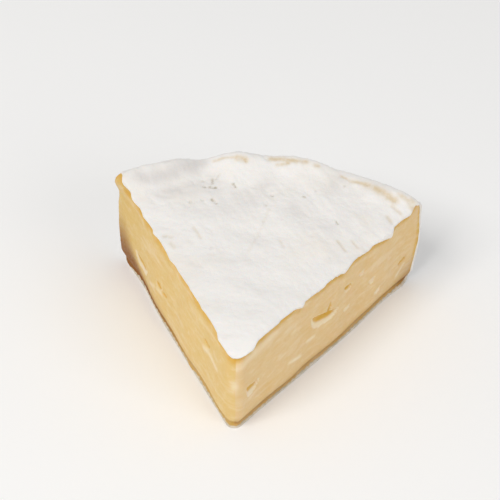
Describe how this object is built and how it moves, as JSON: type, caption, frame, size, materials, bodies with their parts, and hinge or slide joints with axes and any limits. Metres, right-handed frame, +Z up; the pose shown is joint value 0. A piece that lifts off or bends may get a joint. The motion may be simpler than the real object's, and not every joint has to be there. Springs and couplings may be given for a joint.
{
  "type": "brie wedge",
  "caption": "Wedge cut from a small white-mould soft cheese wheel, with a bloomy rind on top, rim and base and creamy paste on the cut faces.",
  "frame": {"origin": "on the surface that the wedge rests on, under the middle of its bounding box", "axes": "+Z up, -Y towards the tip of the wedge, +Y towards the round rim, +X to the right when looking from the tip"},
  "size_m": [0.078, 0.0672, 0.0326],
  "materials": {
    "paste": "moist, creamy golden cheese paste with small open eyes and faint knife marks",
    "rind": "dry, velvety white mould with faint grey and tan patches"
  },
  "bodies": {
    "root": {"brie_wedge": "paste"}
  },
  "joints": []
}
